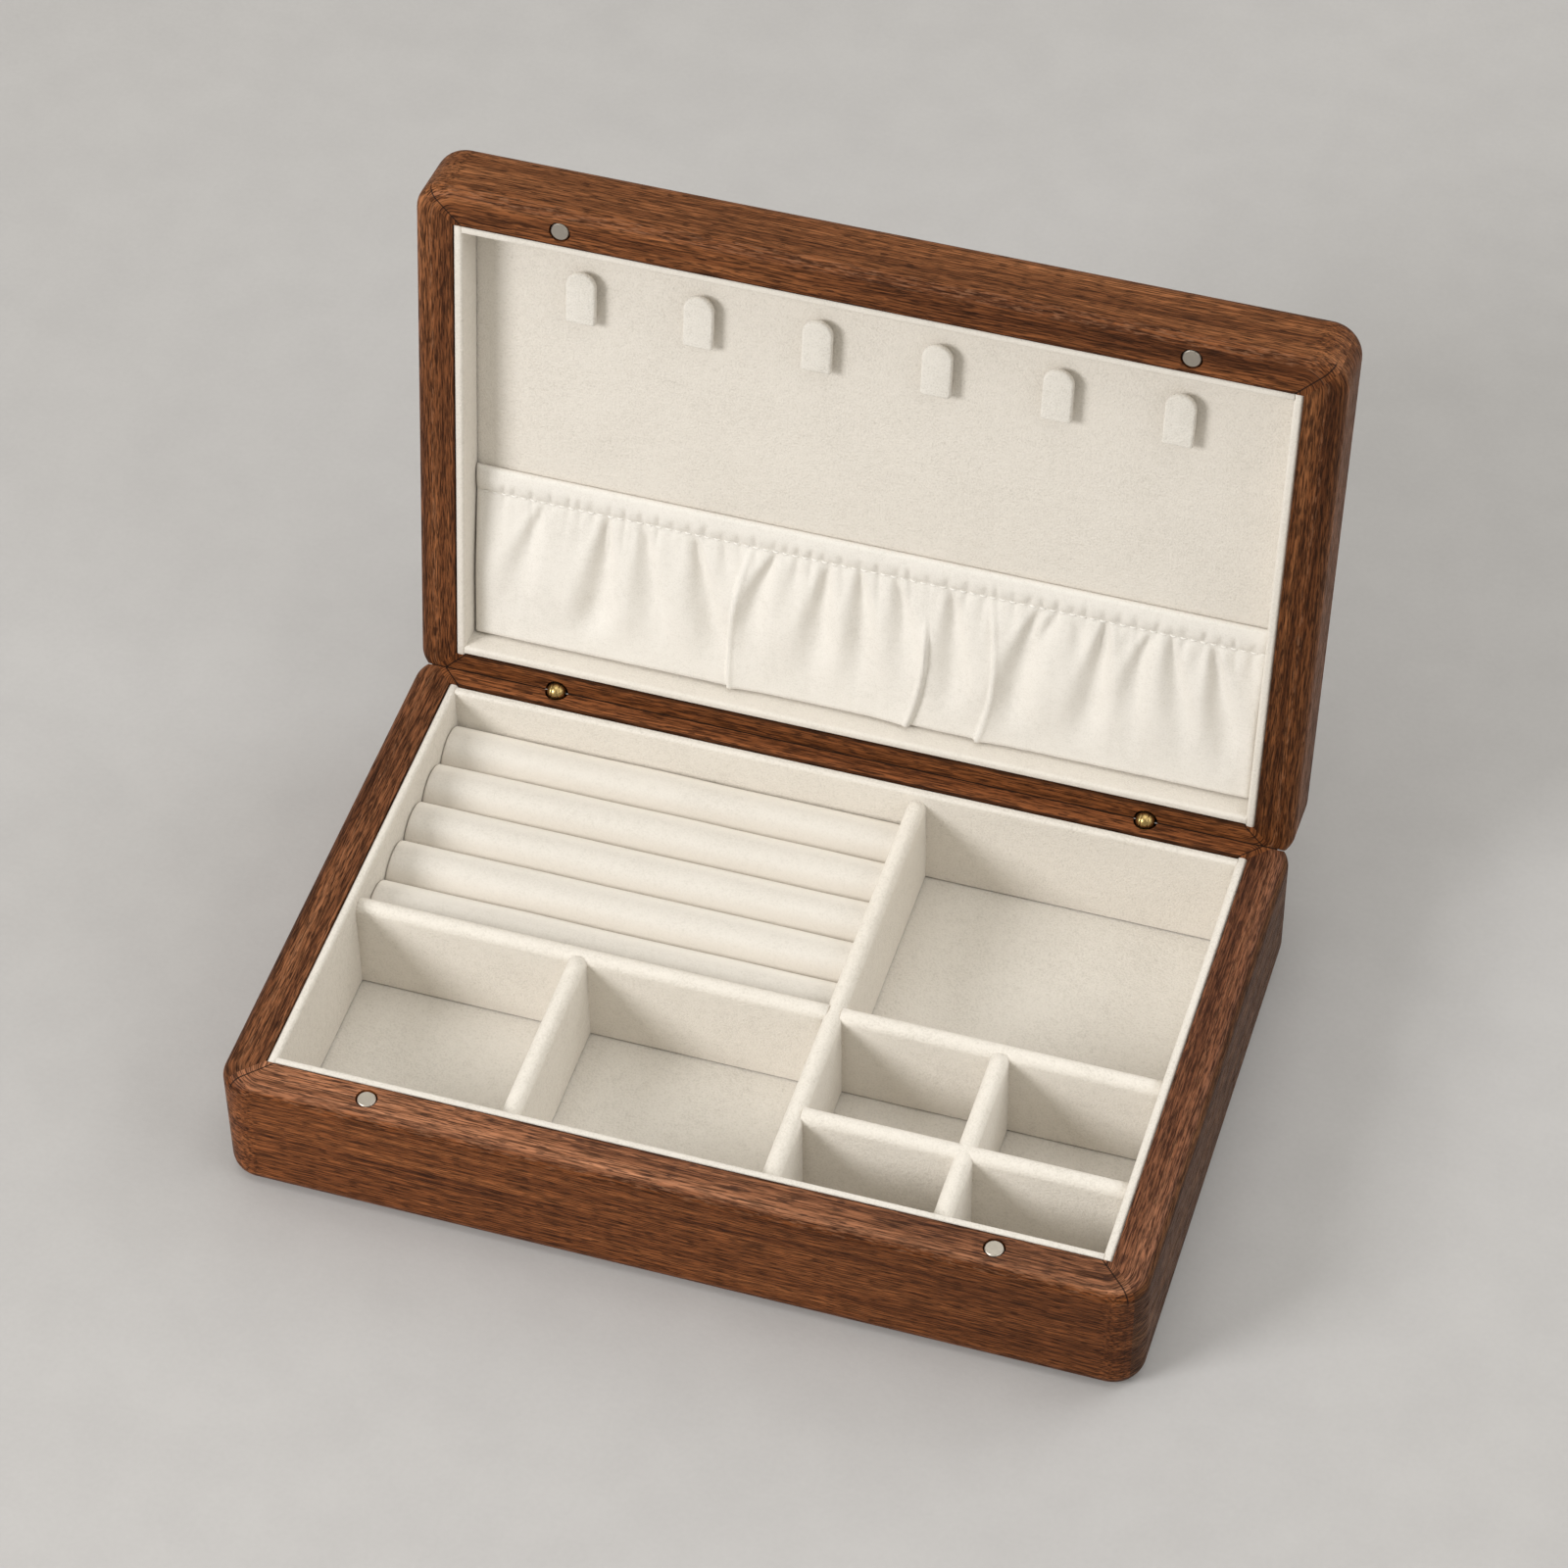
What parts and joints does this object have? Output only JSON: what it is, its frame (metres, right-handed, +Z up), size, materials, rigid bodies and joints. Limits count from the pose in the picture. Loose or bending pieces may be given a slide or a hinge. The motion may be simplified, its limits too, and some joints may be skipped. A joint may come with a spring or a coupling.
{
  "type": "jewelry box",
  "caption": "Wooden jewelry box with mitred walls and a hinged lid that magnets hold shut: velvet-lined trays and ring rolls in the base, necklace hooks and a gathered pocket in the lid.",
  "frame": {"origin": "middle of the box's flat underside", "axes": "+X to the right along the box's long side seen from the front, +Y to the hinged back, +Z up"},
  "size_m": [0.28, 0.2279, 0.2199],
  "materials": {
    "walnut": "satin oiled reddish-brown walnut",
    "velvet": "ivory short-pile velvet",
    "pocket_cloth": "cream brushed velvet cloth",
    "elastic": "woven elastic tape",
    "brass": "polished brass",
    "magnet": "nickel plating"
  },
  "bodies": {
    "base": {"base_back_lining": "velvet", "base_back_rail": "walnut", "base_bottom_panel": "walnut", "base_floor_lining": "velvet", "base_front_lining": "velvet", "base_front_rail": "walnut", "base_left_lining": "velvet", "base_left_magnet": "magnet", "base_left_rail": "walnut", "base_right_lining": "velvet", "base_right_magnet": "magnet", "base_right_rail": "walnut", "left_cross_divider": "velvet", "left_hinge_base_barrel": "brass", "left_hinge_pin": "brass", "left_short_divider": "velvet", "main_divider": "velvet", "right_cross_divider": "velvet", "right_hinge_base_barrel": "brass", "right_hinge_pin": "brass", "ring_roll_1": "velvet", "ring_roll_2": "velvet", "ring_roll_3": "velvet", "ring_roll_4": "velvet", "ring_roll_5": "velvet", "small_cross_divider": "velvet", "small_short_divider": "velvet"},
    "lid": {"left_hinge_lid_barrel": "brass", "lid_back_lining": "velvet", "lid_back_lining_panel": "velvet", "lid_back_rail": "walnut", "lid_front_lining": "velvet", "lid_front_rail": "walnut", "lid_left_lining": "velvet", "lid_left_magnet": "magnet", "lid_left_rail": "walnut", "lid_right_lining": "velvet", "lid_right_magnet": "magnet", "lid_right_rail": "walnut", "lid_top_panel": "walnut", "necklace_hook_1": "velvet", "necklace_hook_2": "velvet", "necklace_hook_3": "velvet", "necklace_hook_4": "velvet", "necklace_hook_5": "velvet", "necklace_hook_6": "velvet", "pocket_cloth": "pocket_cloth", "pocket_elastic": "elastic", "pocket_hem": "pocket_cloth", "right_hinge_lid_barrel": "brass"}
  },
  "joints": [
    {"name": "lid_hinge", "type": "hinge", "parent": "base", "child": "lid", "pos_m": [0, 0.086, 0.04415], "axis": [1, 0, 0], "range_deg": [0, 98]}
  ]
}
